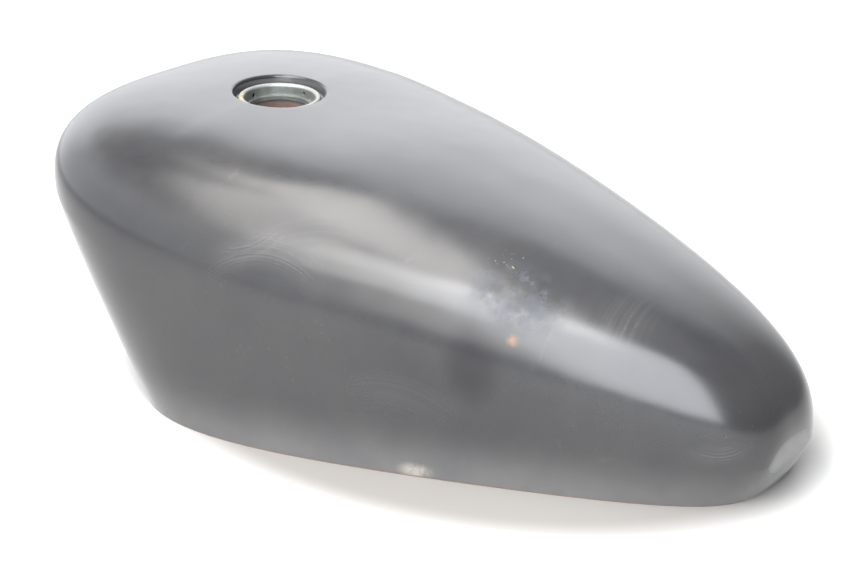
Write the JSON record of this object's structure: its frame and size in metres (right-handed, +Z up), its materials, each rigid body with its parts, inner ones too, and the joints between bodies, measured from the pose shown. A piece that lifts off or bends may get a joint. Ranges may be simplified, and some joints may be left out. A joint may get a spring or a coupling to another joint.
{
  "type": "fuel tank",
  "caption": "Teardrop motorcycle fuel tank with recessed filler, frame tunnel, rubber-bushed mounts, fuel tap and level sender.",
  "frame": {"origin": "on the plane of the lower rim, under the middle of the tank's length, on its centre plane", "axes": "+X to the tank's nose, +Y to the rider's left, +Z up"},
  "size_m": [0.5607, 0.323, 0.1928],
  "materials": {
    "tank_paint": "worn satin black paint, dusty, with wipe marks and fine scratches",
    "bare_facet": "black paint worn to a dull light grey",
    "neck_zinc": "dull zinc plate with rust inside the bore",
    "pan_paint": "matt black underside paint with dust and light surface rust",
    "inner_steel": "plain steel with light rust",
    "zinc_steel": "zinc-plated steel, slightly dulled",
    "rubber": "matt black rubber",
    "tap_alloy": "die-cast alloy, dull",
    "tap_brass": "plain brass, slightly tarnished",
    "black_plastic": "moulded black plastic",
    "float_foam": "dark brown fuel-proof foam"
  },
  "bodies": {
    "tank": {"shell_left": "tank_paint", "shell_right": "tank_paint", "tail_plate": "bare_facet", "tunnel_pan": "pan_paint", "filler_cup": "tank_paint", "filler_neck": "neck_zinc", "filler_cam_ring": "neck_zinc", "drain_tube": "inner_steel", "breather_tube": "inner_steel", "baffle_front": "inner_steel", "baffle_rear": "inner_steel", "front_bracket_left": "pan_paint", "front_bracket_right": "pan_paint", "front_grommets": "rubber", "front_sleeves": "zinc_steel", "rear_bracket": "pan_paint", "rear_grommet": "rubber", "rear_sleeve": "zinc_steel", "tap_gasket": "rubber", "tap_boss": "inner_steel", "tap_body": "tap_alloy", "tap_cover": "zinc_steel", "tap_cover_screws": "zinc_steel", "tap_screws": "zinc_steel", "tap_standpipe": "tap_brass", "tap_strainer": "tap_brass", "sender_ring": "inner_steel", "sender_gasket": "rubber", "sender_plate": "zinc_steel", "sender_screws": "zinc_steel", "sender_terminal": "black_plastic", "sender_frame": "zinc_steel"},
    "tap_lever": {"tap_lever": "tap_alloy"},
    "float": {"float_arm": "zinc_steel", "float": "float_foam"}
  },
  "joints": [
    {"name": "tap_turn", "type": "hinge", "parent": "tank", "child": "tap_lever", "pos_m": [-0.15136, 0.06, 0.01967], "axis": [0, -1, 0], "range_deg": [0, 180]},
    {"name": "float_swing", "type": "hinge", "parent": "tank", "child": "float", "pos_m": [-0.05663, -0.072, 0.07125], "axis": [0, 1, 0], "range_deg": [0, 35]}
  ]
}
